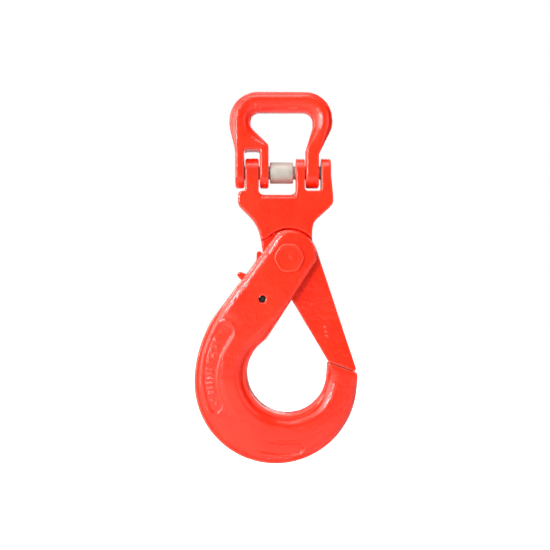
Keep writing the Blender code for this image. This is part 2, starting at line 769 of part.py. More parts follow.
def hook_half_depth(point):
    thin = smooth(bowl_sweep(point), 165.0, 365.0)
    return PLATE_HALF_DEPTH + (TIP_HALF_DEPTH - PLATE_HALF_DEPTH) * thin


def hook_edge(point):
    """Small on the plates, large round the bowl and inside it, small again at the tip."""
    plate_edge, bowl_edge, inner_edge, mating_edge = 2.4, 6.0, 7.6, 0.9
    inner = 1 - smooth((point - BOWL).length, BOWL_RADIUS + 2.0, BOWL_RADIUS + 16.0)
    bowl_edge += (inner_edge - bowl_edge) * inner
    down = smooth(PIVOT.y - point.y, slot_depth() - 8.0, slot_depth() + 20.0)
    edge = plate_edge + (bowl_edge - plate_edge) * down
    if bowl_sweep(point) > 300.0:
        tip_inner, _ = tip_corners()
        below = (tip_inner - point).dot(at_angle(TIP_SLOPE + 90.0))
        edge += (mating_edge - edge) * (1 - smooth(below, 1.5, 9.0))
    return edge, min(edge, inner_edge - 1.0)


def slot_depth():
    """From the pivot square down to the slot's floor, which clears the trigger's hub."""
    down = at_angle(SLOT_TILT - 90.0)
    return (TRIGGER_PIN - PIVOT).dot(down) + TRIGGER_HUB_RADIUS + TRIGGER_HUB_GAP


def slot_outline():
    """Front view of the slot between the plates, down to its sloping floor."""
    floor = PIVOT + at_angle(SLOT_TILT - 90.0, slot_depth())
    along = at_angle(SLOT_TILT)
    up = at_angle(SLOT_TILT + 90.0)
    left, right = floor - along * 3 * SHANK_HALF_WIDTH, floor + along * 2 * SHANK_HALF_WIDTH
    return [left, right, right + up * FAR, left + up * FAR]


def make_hook_body(parent, paint):
    hook = forging(
        "hook_body",
        hook_outline(),
        hook_half_depth,
        hook_edge,
        (PIVOT.x, 0.0, PIVOT.y),
    )
    slot = prism("slot_cutter", slot_outline(), -SLOT_HALF_WIDTH, SLOT_HALF_WIDTH)
    cut(hook, slot)
    bore(hook, "rivet_bore_cutter", PIVOT, RIVET_RADIUS + BORE_CLEAR)
    bore(hook, "trigger_pin_bore_cutter", TRIGGER_PIN, TRIGGER_PIN_BORE)
    finish(hook, parent, paint)


# --- Rivet ------------------------------------------------------------------------------
def hexagon(flat, corner):
    """A hexagon with a flat side down, its corners rounded off, as a radius of the angle."""

    def radius(angle):
        off = (angle + 90.0 + 30.0) % 60.0 - 30.0
        return min(flat / math.cos(math.radians(off)), corner)

    return radius


def make_rivet(parent, paint):
    seat = PLATE_HALF_DEPTH + CLEAR
    outside = seat + RIVET_HEAD
    chamfer = 0.6
    front = hexagon(RIVET_HEAD_FLAT, RIVET_HEAD_RADIUS)
    front_top = hexagon(RIVET_HEAD_FLAT - chamfer, RIVET_HEAD_RADIUS - chamfer)
    profile = [
        (-outside, 0.0),
        (-outside, front_top),
        (-outside + chamfer, front),
        (-seat, front),
        (-seat, RIVET_RADIUS),
        (seat, RIVET_RADIUS),
        (seat, RIVET_HEAD_RADIUS - 0.4),
        (seat + RIVET_HEAD / 2, RIVET_HEAD_RADIUS - 0.7),
        (outside, RIVET_HEAD_RADIUS - 3.0),
        (outside, 0.0),
    ]
    rivet = turned("pivot_rivet", profile)
    rivet.location = Vector((PIVOT.x, 0.0, PIVOT.y)) * MM
    finish(rivet, parent, paint)


# --- Trigger, its pin and spring --------------------------------------------------------
def beside_shank(down, out):
    """A place along the shank's back edge, down from the pivot's level, and out from it."""
    back = shank_back_normal()
    edge = PIVOT + at_angle(back, SHANK_HALF_WIDTH + out)
    return edge + at_angle(back + 90.0, down)


def trigger_outline():
    """Counter-clockwise from the thumb tab: down the back, round the pin, up to the nose that
    sits under the hub's tooth, and over the head."""
    tooth, root = tooth_face()
    face = (root - tooth).normalized()
    gap = Vector((face.y, -face.x)) * TOOTH_GAP
    nose_top = tooth + gap - face * 0.3
    nose_end = root + gap - face * 0.4
    hub_arc = arc(TRIGGER_PIN, TRIGGER_HUB_RADIUS, 190.0, 350.0)
    lever_front = HUB_BACK_RADIUS + 1.2
    tab = arc(beside_shank(TAB_PLACE, TAB_REACH), TAB_RADIUS, 68.0, 224.0)
    return rounded(
        [
            *tab,
            (beside_shank(TAB_PLACE + 2.4, -0.3), 1.0),
            (beside_shank(TAB_PLACE + 4.6, -1.8), 2.0),
            *hub_arc,
            (PIVOT + at_angle(216.0, lever_front), 3.0),
            (PIVOT + at_angle(198.0, lever_front + 0.2), 1.0),
            (nose_end - Vector((0.2, 1.0)), 0.5),
            (nose_end, 0.4),
            nose_top,
            (nose_top + Vector((-0.9, 1.2)), 0.5),
            (nose_top + Vector((-3.3, 0.9)), 0.9),
            (beside_shank(TAB_PLACE - 13.7, 0.4), 3.0),
            (beside_shank(TAB_PLACE - 2.8, -0.4), 1.2),
        ]
    )


def make_trigger(parent, paint):
    trigger = prism(
        "trigger",
        trigger_outline(),
        -TRIGGER_HALF_WIDTH,
        TRIGGER_HALF_WIDTH,
        (TRIGGER_PIN.x, 0.0, TRIGGER_PIN.y),
    )
    bore(trigger, "trigger_bore_cutter", TRIGGER_PIN, TRIGGER_PIN_BORE)
    pocket = arc(TRIGGER_PIN, TRIGGER_HUB_RADIUS + CLEAR, 0.0, 350.0)
    cut(trigger, prism("spring_pocket_cutter", pocket, SPRING_SIDE, FAR))
    along = at_angle(SPRING_LEG_ANGLE)
    across = at_angle(SPRING_LEG_ANGLE - 90.0)
    inner = TRIGGER_PIN + across * (SPRING_COIL - SPRING_WIRE - CLEAR)
    outer = TRIGGER_PIN + across * (SPRING_COIL + SPRING_WIRE + CLEAR)
    end = along * (SPRING_GROOVE_LEG + 2.0)
    groove = [inner, outer, outer + end, inner + end]
    groove_floor = spring_route()[-1].y - SPRING_WIRE - CLEAR
    cut(trigger, prism("spring_groove_cutter", groove, groove_floor, FAR))
    finish(trigger, parent, paint)


def spring_route():
    """A leg on the slot's floor, the coil round the pin, and a leg in the trigger's groove."""
    first = SPRING_SIDE + CLEAR + SPRING_WIRE
    start = SLOT_TILT
    end = 360.0 * (SPRING_TURNS - 1) + SPRING_LEG_ANGLE - 90.0
    turns = []
    steps = 16 * SPRING_TURNS
    for i in range(steps + 1):
        angle = start + (end - start) * i / steps
        spot = TRIGGER_PIN + at_angle(angle, SPRING_COIL)
        place = first + SPRING_PITCH * (angle - start) / 360.0
        turns.append(Vector((spot.x, place, spot.y)))
    floor_leg = turns[0] + Vector((*at_angle(start - 90.0, SPRING_FLOOR_LEG), 0.0)).xzy
    groove_leg = turns[-1] + Vector((*at_angle(end + 90.0, SPRING_GROOVE_LEG), 0.0)).xzy
    return [floor_leg, *turns, groove_leg]


def make_spring(parent, steel):
    curve = bpy.data.curves.new("trigger_spring", "CURVE")
    curve.dimensions = "3D"
    curve.bevel_depth = SPRING_WIRE * MM
    curve.bevel_resolution = 1
    curve.use_fill_caps = True
    route = spring_route()
    spline = curve.splines.new("POLY")
    spline.points.add(len(route) - 1)
    origin = Vector((TRIGGER_PIN.x, 0.0, TRIGGER_PIN.y))
    for point, place in zip(spline.points, route):
        point.co = (*((place - origin) * MM), 1.0)
    spring = bpy.data.objects.new("trigger_spring", curve)
    bpy.context.scene.collection.objects.link(spring)
    spring.location = origin * MM
    curve.materials.append(steel)
    attach(spring, parent)


def make_trigger_pin(parent, steel):
    """A plain pin, sunk into both plates, with chamfered ends."""
    half = PLATE_HALF_DEPTH - TRIGGER_PIN_RECESS
    chamfer = 0.4
    radius = TRIGGER_PIN_RADIUS
    end = [(half - chamfer, radius), (half, radius - chamfer), (half, 0.0)]
    start = [(-along, size) for along, size in reversed(end)]
    pin = turned("trigger_pin", start + end)
    pin.location = Vector((TRIGGER_PIN.x, 0.0, TRIGGER_PIN.y)) * MM
    finish(pin, parent, steel)


def build():
    for obj in list(bpy.data.objects):
        bpy.data.objects.remove(obj)
    red = material("red_enamel", (0.80, 0.035, 0.012), 0.32, 0.0)
    zinc = material("zinc_plated_steel", (0.48, 0.45, 0.41), 0.38, 1.0)
    dark = material("dark_steel", (0.06, 0.06, 0.06), 0.45, 1.0)

    seat_axis = axis_empty("sling_seat", Vector((0.0, 0.0)))
    pin_axis = axis_empty("coupling_axis", COUPLING, seat_axis)
    swing_axis = axis_empty("swing_axis", COUPLING, seat_axis)
    pivot_axis = axis_empty("pivot_axis", PIVOT, swing_axis)
    trigger_axis = axis_empty("trigger_axis", TRIGGER_PIN, pivot_axis)

    make_top_link(seat_axis, red)
    make_cross_pin(pin_axis, zinc)
    make_bush(pin_axis, zinc)
    make_bush_clip(pin_axis, dark)
    make_upper_body(swing_axis, red)
    make_hook_body(pivot_axis, red)
    make_rivet(pivot_axis, red)
    make_trigger(trigger_axis, red)
    make_spring(pivot_axis, dark)
    make_trigger_pin(pivot_axis, dark)


build()
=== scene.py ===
"""Looks of a self-locking sling hook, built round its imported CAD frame.

Each forging is a soft-edged remesh of its CAD solid with its own relief, and each turned piece
is a finer one. Positions in the helpers are in millimetres, and MM turns them into metres.
"""

import json
import math

import bmesh
import bpy
import numpy as np
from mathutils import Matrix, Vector, noise


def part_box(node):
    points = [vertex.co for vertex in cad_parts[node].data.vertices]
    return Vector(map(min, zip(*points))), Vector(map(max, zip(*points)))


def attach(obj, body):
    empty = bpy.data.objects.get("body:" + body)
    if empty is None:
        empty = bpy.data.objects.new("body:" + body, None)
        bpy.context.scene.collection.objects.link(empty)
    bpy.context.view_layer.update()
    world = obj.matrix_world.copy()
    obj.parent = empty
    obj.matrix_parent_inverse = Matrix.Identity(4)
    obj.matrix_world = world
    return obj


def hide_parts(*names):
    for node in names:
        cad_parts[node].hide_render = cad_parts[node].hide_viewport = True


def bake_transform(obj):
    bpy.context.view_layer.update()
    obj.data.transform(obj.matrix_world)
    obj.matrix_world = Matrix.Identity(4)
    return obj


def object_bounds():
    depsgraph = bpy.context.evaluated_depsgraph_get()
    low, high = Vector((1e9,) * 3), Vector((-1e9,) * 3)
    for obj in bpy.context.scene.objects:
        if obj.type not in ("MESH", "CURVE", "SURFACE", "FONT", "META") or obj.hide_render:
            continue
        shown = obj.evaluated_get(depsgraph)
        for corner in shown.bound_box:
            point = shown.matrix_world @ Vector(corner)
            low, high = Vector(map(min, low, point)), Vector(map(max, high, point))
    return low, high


MM = 0.001
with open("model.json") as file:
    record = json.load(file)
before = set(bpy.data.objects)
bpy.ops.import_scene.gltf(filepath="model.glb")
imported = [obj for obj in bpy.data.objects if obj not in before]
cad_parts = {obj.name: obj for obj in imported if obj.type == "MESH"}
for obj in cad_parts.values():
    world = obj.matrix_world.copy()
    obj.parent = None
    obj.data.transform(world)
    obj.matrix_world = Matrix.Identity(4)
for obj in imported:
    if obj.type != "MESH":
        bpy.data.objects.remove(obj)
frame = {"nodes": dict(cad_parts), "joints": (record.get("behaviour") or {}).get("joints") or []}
cad_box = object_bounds()
joints = {joint["name"]: Vector(joint["pos_m"]) / MM for joint in frame["joints"]}
PIVOT = joints["hook_open"]
COUPLING = joints["coupling_swing"]


def node_box(node):
    """Lowest and highest corner of a CAD node, in millimetres."""
    low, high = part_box(node)
    return low / MM, high / MM


# --- Driving sizes, in millimetres and degrees ------------------------------------------
# An angle is measured round the bowl's centre, from +X towards +Z, as seen from the front.
# A pair of angles or heights is where something fades in, or out.
SKIN = 0.3  # least gap kept between neighbouring pieces

# Hook body.
BOWL = PIVOT + Vector((-1.4, 0.0, -72.8))  # centre of the bowl's inner circle
INNER_RIDGE = 31.4  # radius where the face turns down to the bowl's inside
INNER_SLOPE = 0.35
INNER_START = (135.0, 165.0)
INNER_END = (300.0, 345.0)
RIDGE_RADIUS = 39.8  # and where it starts to slope outwards
CREASE_SLOPE = 0.17  # more than the outer slope, over the first few millimetres
CREASE_WIDTH = 2.4
OUTER_SLOPE = 0.1
BELOW_SHANK = (128.0, 150.0)  # where the shank's bevel gives way to the bowl's slope
OUTER_END = (285.0, 330.0)
SHANK_HALF_WIDTH = 15.3
BACK_NORMAL = math.radians(142.7)  # square to the shank's back edge
BACK_BEVEL = 5.2
BACK_SLOPE = 0.2

# The two recessed panels. Each shape is (first angle, last angle, half width) and each rim is
# (distance outside the edge, width, height).
PANEL_RADIUS = 48.2  # middle line
PANEL_EDGE = 1.1  # width of the step down into them
SIDE_PANEL = (139.5, 209.0, 4.5)
SIDE_DEPTH = 0.7
SIDE_WIDENING = 1.1  # of its upper end, towards the bowl and along it
SIDE_WIDENING_FADE = (145.0, 195.0)
SIDE_RIM = (0.9, 0.75, 0.45)
SIDE_RIM_FADE = (152.0, 172.0)  # of the rim on the bowl's side
SIDE_RIM_OUTSIDE = 0.5  # share of its height that the outer rim has
LOW_PANEL = (246.0, 283.0, 4.2)
LOW_DEPTH = 1.3
LOW_SHIFT = 1.2  # towards the bowl
LOW_START = (246.0, 262.0)
LOW_RIM = (0.7, 0.6, 0.5)
PANEL_BAND = (41.5, 54.5)  # radii and angles with a finer mesh
PANEL_SECTORS = ((137.0, 223.0), (238.0, 287.0))
MARK_HEIGHT = 0.5
# Plain raised dots and bars in the side panel: (angle, radial offset, half length, half width).
SIDE_MARKS = [(154.0 + 4.1 * i, 1.1 * (-1) ** i, 0.75, 0.75) for i in range(5)]
SIDE_MARKS += [(175.5 + 3.6 * i, 0.0, 2.2, 0.55) for i in range(6)]
SIDE_MARKS += [(199.0 + 3.6 * i, 0.8 * (-1) ** i, 0.7, 0.7) for i in range(2)]

# Upper body.
SADDLE = COUPLING.z - 14.2  # floor between the ears
SADDLE_LEFT, SADDLE_RIGHT = -14.3, 8.9
LIP = 3.2
LIP_SLOPE = 0.35
DOTS = PIVOT + Vector((23.4, 0.0, -46.0))  # middle of the row on the arm
DOT_STEP = (0.7, -2.9)
DOT_RADIUS = 0.9
DOT_HEIGHT = 0.35

# Top link.
LINK_MIDDLE = 26.3  # middle line of its sides, and of its bar
BAR_MIDDLE = 6.0
LINK_CORNER = 12.5
LINK_DOME = 0.02
DOME_START = (-22.0, -8.0)

# Skin of the forgings.
DENT_HEIGHT = 0.12
DENT_SIZE = 9.0
GRAIN_SIZE = 3.0

# Turned pieces and the spring.
BUSH_EDGE = 0.7
PIN_EDGE = 0.9
RIVET_SHANK = 7.0

# --- Stage, in metres -------------------------------------------------------------------
LENS = 62.65
CAMERA_OFFSET = Vector((-0.0007, 0.0, 0.0015))
CAMERA_DISTANCE = 0.607
FLOOR_HALF_SIZE = 3.0
FLOOR_DROP = 0.08
# (name, place, size, power in watts)
LIGHTS = [
    ("key", (-0.78, -0.72, 0.34), (0.8, 0.8), 6.0),
    ("glint", (-0.44, -0.84, 0.1), (0.09, 0.4), 5.5),
    ("side", (-0.95, -0.2, 0.15), (0.9, 0.9), 9.0),
    ("fill", (0.8, -0.7, 0.1), (0.6, 0.6), 1.6),
    ("top", (-0.1, -0.35, 0.85), (0.8, 0.5), 5.5),
    ("rear", (0.4, 0.9, 0.4), (0.9, 0.9), 5.0),
]
BRIGHT_SIDE = (-0.65, 0.1, 0.75)  # the world is lightest in this direction
WORLD_STOPS = [(0.0, 0.05), (0.4, 0.12), (0.6, 0.22), (0.75, 0.7), (0.95, 1.3)]
WORLD_STRENGTH = 0.75


# --- Materials --------------------------------------------------------------------------
def new_material(name, colour, roughness, metallic):
    made = bpy.data.materials.new(name)
    made.use_nodes = True
    shader = made.node_tree.nodes["Principled BSDF"]
    shader.inputs["Base Color"].default_value = (*colour, 1.0)
    shader.inputs["Roughness"].default_value = roughness
    shader.inputs["Metallic"].default_value = metallic
    return made, shader


def add_noise(tree, scale, detail, roughness=0.5):
    """Noise in object space, in waves per metre."""
    place = tree.nodes.get("Texture Coordinate") or tree.nodes.new("ShaderNodeTexCoord")
    texture = tree.nodes.new("ShaderNodeTexNoise")
    texture.inputs["Scale"].default_value = scale
    texture.inputs["Detail"].default_value = detail
    texture.inputs["Roughness"].default_value = roughness
    tree.links.new(place.outputs["Object"], texture.inputs["Vector"])
    return texture.outputs["Fac"]


def add_ramp(tree, source, stops):
    """A colour ramp over source; stops are pairs of (place, grey or colour)."""
    ramp = tree.nodes.new("ShaderNodeValToRGB")
    elements = ramp.color_ramp.elements
    while len(elements) < len(stops):
        elements.new(0.5)
    for element, (place, value) in zip(elements, stops):
        element.position = place
        element.color = (*value, 1.0) if isinstance(value, tuple) else (value, value, value, 1.0)
    tree.links.new(source, ramp.inputs["Fac"])
    return ramp.outputs["Color"]


def add_mix(tree, factor, a, b):
    """a and b mixed by factor; each is a socket or a colour."""
    mix = tree.nodes.new("ShaderNodeMix")
    mix.data_type = "RGBA"
    for name, value in (("Factor", factor), ("A", a), ("B", b)):
        socket = mix.inputs[name]
        if isinstance(value, bpy.types.NodeSocket):
            tree.links.new(value, socket)
        elif isinstance(value, tuple):
            socket.default_value = (*value, 1.0)
        else:
            socket.default_value = value
    return mix.outputs["Result"]


def add_bumps(tree, shader, layers):
    """Bump layers on shader, each (height socket, distance in metres, strength)."""
    normal = None
    for height, distance, strength in layers:
        bump = tree.nodes.new("ShaderNodeBump")
        bump.inputs["Distance"].default_value = distance
        bump.inputs["Strength"].default_value = strength
        tree.links.new(height, bump.inputs["Height"])
        if normal:
            tree.links.new(normal, bump.inputs["Normal"])
        normal = bump.outputs["Normal"]
    tree.links.new(normal, shader.inputs["Normal"])
    tree.links.new(normal, shader.inputs["Coat Normal"])


def enamel_material():
    """Thick red-orange stove enamel on a forging: glossy, with orange peel, edges painted
    lighter as a highlight (partly thinner enamel there) and painted shade in the hollows.
    """
    made, shader = new_material("red_enamel", (0.84, 0.02, 0.004), 0.3, 0.0)
    tree = made.node_tree
    blotches = add_ramp(tree, add_noise(tree, 60.0, 3.0), [(0.35, 0.0), (0.65, 1.0)])
    body = add_mix(tree, blotches, (0.82, 0.018, 0.004), (0.88, 0.024, 0.006))
    geometry = tree.nodes.new("ShaderNodeNewGeometry")
    pointed = geometry.outputs["Pointiness"]
    # Painted highlight: convex edges, found by pointiness, are mixed to a lighter pink. This
    # stands partly for thinner enamel there.
    edges = add_ramp(tree, pointed, [(0.515, 0.0), (0.57, 1.0)])
    # Painted shade: concave places, found by pointiness, are mixed darker, as shade in hollows
    # and creases.
    hollow_shade = add_ramp(tree, pointed, [(0.42, 1.0), (0.49, 0.0)])
    body = add_mix(tree, edges, body, (0.95, 0.085, 0.045))
    body = add_mix(tree, hollow_shade, body, (0.48, 0.010, 0.004))
    tree.links.new(body, shader.inputs["Base Color"])
    gloss = add_ramp(tree, add_noise(tree, 220.0, 4.0), [(0.3, 0.28), (0.7, 0.44)])
    tree.links.new(gloss, shader.inputs["Roughness"])
    shader.inputs["Specular IOR Level"].default_value = 0.1
    shader.inputs["Coat Weight"].default_value = 0.75
    shader.inputs["Coat Roughness"].default_value = 0.06
    peel = add_noise(tree, 850.0, 2.0)
    grit = add_noise(tree, 330.0, 4.0, 0.6)
    add_bumps(tree, shader, [(grit, 0.0006, 0.45), (peel, 0.0002, 0.3)])
    return made


def plated_material():
    """Dull zinc plate with fine turning marks round the coupling's axis."""
    made, shader = new_material("zinc_plate", (0.48, 0.43, 0.37), 0.5, 0.4)
    tree = made.node_tree
    tones = [(0.3, (0.34, 0.31, 0.27)), (0.7, (0.43, 0.40, 0.35))]
    clouds = add_ramp(tree, add_noise(tree, 160.0, 5.0), tones)
    tree.links.new(clouds, shader.inputs["Base Color"])
    rough = add_ramp(tree, add_noise(tree, 500.0, 4.0), [(0.3, 0.44), (0.7, 0.60)])
    tree.links.new(rough, shader.inputs["Roughness"])
    turning = tree.nodes.new("ShaderNodeTexWave")
    turning.bands_direction = "X"
    turning.inputs["Scale"].default_value = 700.0
    turning.inputs["Distortion"].default_value = 0.6
    place = tree.nodes["Texture Coordinate"]
    tree.links.new(place.outputs["Object"], turning.inputs["Vector"])
    pits = add_noise(tree, 1400.0, 3.0)
    add_bumps(tree, shader, [(turning.outputs["Fac"], 0.00002, 0.3), (pits, 0.00003, 0.25)])
    return made


def spring_material():
    """Dark oiled spring steel."""
    made, shader = new_material("spring_steel", (0.05, 0.046, 0.042), 0.4, 0.9)
    tree = made.node_tree
    tones = [(0.3, (0.02, 0.018, 0.016)), (0.7, (0.06, 0.054, 0.048))]
    clouds = add_ramp(tree, add_noise(tree, 300.0, 4.0), tones)
    tree.links.new(clouds, shader.inputs["Base Color"])
    rough = add_ramp(tree, add_noise(tree, 900.0, 3.0), [(0.3, 0.3), (0.7, 0.55)])
    tree.links.new(rough, shader.inputs["Roughness"])
    add_bumps(tree, shader, [(add_noise(tree, 1600.0, 3.0), 0.00005, 0.5)])
    return made


# --- Mesh helpers -----------------------------------------------------------------------
def add_object(name, mesh):
    made = bpy.data.objects.new(name, mesh)
    bpy.context.scene.collection.objects.link(made)
    return made


def place_piece(piece, body, node, paint):
    """Material and body of the piece, and hides the CAD node that it stands for."""
    piece.data.materials.clear()
    piece.data.materials.append(paint)
    piece.data.shade_smooth()
    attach(piece, body)
    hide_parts(node)


def baked(piece, *settings):
    """Adds modifiers, each (type, values), and replaces the mesh by their result."""
    for kind, values in settings:
        modifier = piece.modifiers.new(kind, kind)
        for key, value in values.items():
            setattr(modifier, key, value)
    depsgraph = bpy.context.evaluated_depsgraph_get()
    mesh = bpy.data.meshes.new_from_object(piece.evaluated_get(depsgraph))
    piece.modifiers.clear()
    old, piece.data = piece.data, mesh
    bpy.data.meshes.remove(old)


def soft_copy(node, name, voxel, rounding):
    """A CAD solid remeshed in quads of voxel millimetres, with its edges rounded off."""
    piece = add_object(name, frame["nodes"][node].data.copy())
    shape = bmesh.new()
    shape.from_mesh(piece.data)
    bmesh.ops.remove_doubles(shape, verts=shape.verts, dist=1e-7)
    shape.to_mesh(piece.data)
    shape.free()
    remesh = {"mode": "VOXEL", "voxel_size": voxel * MM, "adaptivity": 0.0}
    baked(piece, ("REMESH", remesh), ("SMOOTH", {"factor": 0.5, "iterations": rounding}))
    return piece


def refine(piece, chosen):
    """Splits each face whose middle is chosen, given as a function of (x, z) in millimetres."""
    shape = bmesh.new()
    shape.from_mesh(piece.data)
    edges = set()
    for face in shape.faces:
        middle = face.calc_center_median() / MM
        if chosen(middle.x, middle.z):
            edges.update(face.edges)
    bmesh.ops.subdivide_edges(shape, edges=list(edges), cuts=1, use_grid_fill=True, smooth=0.0)
    shape.to_mesh(piece.data)
    shape.free()


def displace(piece, height):
    """Moves each vertex along its normal by height(points, normals), all in millimetres."""
    mesh = piece.data
    count = len(mesh.vertices)
    points = np.empty(count * 3)
    normals = np.empty(count * 3)
    mesh.vertices.foreach_get("co", points)
    mesh.vertex_normals.foreach_get("vector", normals)
    points = points.reshape(-1, 3) / MM
    normals = normals.reshape(-1, 3)
    points += normals * height(points, normals)[:, None]
    mesh.vertices.foreach_set("co", (points * MM).ravel())
    mesh.update()


def ramp(value, low, high):
    """0 below low, 1 above high, and a smooth step between them."""
    t = np.clip((value - low) / (high - low), 0.0, 1.0)
    return t * t * (3 - 2 * t)


def soft_rise(value, softness):
    """0 below 0 and value above it, with a rounded start."""
    return softness * np.logaddexp(0.0, value / softness)


def rim(distance, at, width, height):
    """A rounded rim that runs along a shape, at this distance outside its edge."""
    return height * np.exp(-(((distance - at) / width) ** 2))


def dents(points, size, seed):
    """Smooth noise between -1 and 1, with features of the given size."""
    shift = Vector((seed * 17.3, seed * 5.1, seed * 9.7))
    return np.array([noise.noise(Vector(point) / size + shift) for point in points])


def forged_skin(points, seed):
    """The uneven skin that a hammer die leaves, mostly below the true surface."""
    coarse = dents(points, DENT_SIZE, seed) * 0.7
    fine = dents(points, GRAIN_SIZE, seed + 1) * 0.45
    return DENT_HEIGHT * (coarse + fine - 0.75)


# --- Hook body --------------------------------------------------------------------------
def polar(points):
    """Distance and angle in degrees round the bowl's centre, seen from the front."""
    x = points[:, 0] - BOWL.x
    z = points[:, 2] - BOWL.z
    return np.hypot(x, z), np.degrees(np.arctan2(z, x)) % 360.0


def capsule(radius, angle, start, end, half_width):
    """Signed distance to a curved oblong round the bowl, from one angle to another."""
    along = np.radians(angle - (start + end) / 2) * PANEL_RADIUS
    reach = math.radians(end - start) / 2 * PANEL_RADIUS - half_width
    over = np.maximum(np.abs(along) - reach, 0.0)
    return np.hypot(over, radius - PANEL_RADIUS) - half_width


def mark_heights(radius, angle):
    """The side panel's dots and bars, each 1 on top and 0 outside."""
    height = np.zeros(len(radius))
    for at, offset, half_length, half_width in SIDE_MARKS:
        along = np.radians(angle - at) * PANEL_RADIUS
        across = radius - PANEL_RADIUS - offset
        over = np.maximum(np.abs(across) - (half_length - half_width), 0.0)
        distance = np.hypot(over, along) - half_width
        height = np.maximum(height, 1.0 - ramp(distance, -0.35, 0.3))
    return height


def near_panels(x, z):
    """Whether a place is by one of the panels, where the mesh is finer."""
    radius = math.hypot(x - BOWL.x, z - BOWL.z)
    angle = math.degrees(math.atan2(z - BOWL.z, x - BOWL.x)) % 360.0
    if not PANEL_BAND[0] < radius < PANEL_BAND[1]:
        return False
    return any(first < angle < last for first, last in PANEL_SECTORS)


def bowl_slopes(radius, angle, below):
    """The bowl's face: sloping outwards beyond one ridge, and down to the inside of another."""
    reach = below * (1.0 - ramp(angle, *OUTER_END))
    rise = soft_rise(radius - RIDGE_RADIUS, 0.3)
    drop = OUTER_SLOPE * rise + CREASE_SLOPE * np.minimum(rise, CREASE_WIDTH)
    inside = ramp(angle, *INNER_START) * (1.0 - ramp(angle, *INNER_END))
    fall = soft_rise(INNER_RIDGE - radius, 0.25)
    return -drop * reach - INNER_SLOPE * fall * inside


def shank_bevel(points, below):
    """The slope to the shank's back edge."""
    out = (points[:, 0] - PIVOT.x) * math.cos(BACK_NORMAL)
    out += (points[:, 2] - PIVOT.z) * math.sin(BACK_NORMAL)
    return -BACK_SLOPE * soft_rise(out - (SHANK_HALF_WIDTH - BACK_BEVEL), 0.3) * (1.0 - below)


def panel_relief(radius, angle):
    """The two recessed panels with their rims."""
    wider = SIDE_WIDENING * (1.0 - ramp(angle, *SIDE_WIDENING_FADE))
    side = capsule(radius + wider, angle, *SIDE_PANEL) - wider
    low = capsule(radius + LOW_SHIFT, angle, *LOW_PANEL)
    shown = ramp(angle, *LOW_START)
    height = -SIDE_DEPTH * (1.0 - ramp(side, -PANEL_EDGE, 0.1))
    height -= LOW_DEPTH * shown * (1.0 - ramp(low, -PANEL_EDGE, 0.1))
    inner_share = 1.0 - ramp(angle, *SIDE_RIM_FADE)
    share = np.where(radius < PANEL_RADIUS, inner_share, SIDE_RIM_OUTSIDE)
    return height + rim(side, *SIDE_RIM) * share + rim(low, *LOW_RIM) * shown


def hook_relief(points, normals):
    """The die's work, the same on both faces."""
    radius, angle = polar(points)
    facing = ramp(np.abs(normals[:, 1]), 0.3, 0.75)
    below = ramp(angle, *BELOW_SHANK)
    height = bowl_slopes(radius, angle, below) + shank_bevel(points, below)
    height += panel_relief(radius, angle) + MARK_HEIGHT * mark_heights(radius, angle)
    return height * facing + forged_skin(points, 1)


def make_hook():
    piece = soft_copy("hook_body", "hook_forging", 0.6, 8)
    refine(piece, near_panels)
    displace(piece, hook_relief)
    place_piece(piece, "hook", "hook_body", enamel)


# --- Upper body and top link ------------------------------------------------------------
def body_relief(points, normals):
    """A lip sloping to the floor between the ears, and a slanted row of three plain dots,
    raised low on the arm."""
    facing = ramp(np.abs(normals[:, 1]), 0.35, 0.8)
    lip = soft_rise(points[:, 2] - (SADDLE - LIP), 0.3) * (points[:, 2] < SADDLE + 0.5)
    lip *= ramp(points[:, 0], SADDLE_LEFT - 0.5, SADDLE_LEFT + 2.0)
    lip *= 1.0 - ramp(points[:, 0], SADDLE_RIGHT - 2.0, SADDLE_RIGHT + 0.5)
    across, up = DOT_STEP
    near = np.full(len(points), np.inf)
    for i in (-1.0, 0.0, 1.0):
        x = points[:, 0] - DOTS.x - across * i
        z = points[:, 2] - DOTS.z - up * i
        near = np.minimum(near, np.hypot(x, z) - DOT_RADIUS)
    dots = 1.0 - ramp(near, -0.3, 0.3)
    return (DOT_HEIGHT * dots - LIP_SLOPE * lip) * facing + forged_skin(points, 5)


def make_upper_body():
    piece = soft_copy("upper_body", "body_forging", 0.5, 7)
    displace(piece, body_relief)
    place_piece(piece, "upper_body", "upper_body", enamel)


def link_relief(points, normals):
    """Domes the bar and the sides about their middle line, a rounded rectangle."""
    x = np.abs(points[:, 0]) - (LINK_MIDDLE - LINK_CORNER)
    z = points[:, 2] - (BAR_MIDDLE - LINK_CORNER)
    out = np.hypot(np.maximum(x, 0.0), np.maximum(z, 0.0)) + np.minimum(np.maximum(x, z), 0.0)
    facing = ramp(np.abs(normals[:, 1]), 0.2, 0.7)
    high = ramp(points[:, 2], *DOME_START)
    return -LINK_DOME * (out - LINK_CORNER) ** 2 * facing * high + forged_skin(points, 9)


def make_top_link():
    piece = soft_copy("top_link", "link_forging", 0.45, 9)
    displace(piece, link_relief)
    place_piece(piece, "top_link", "top_link", enamel)


# --- Trigger ----------------------------------------------------------------------------
def make_trigger():
    piece = soft_copy("trigger", "trigger_forging", 0.3, 6)
    displace(piece, lambda points, normals: forged_skin(points, 13) * 0.6)
    place_piece(piece, "trigger", "trigger", enamel)


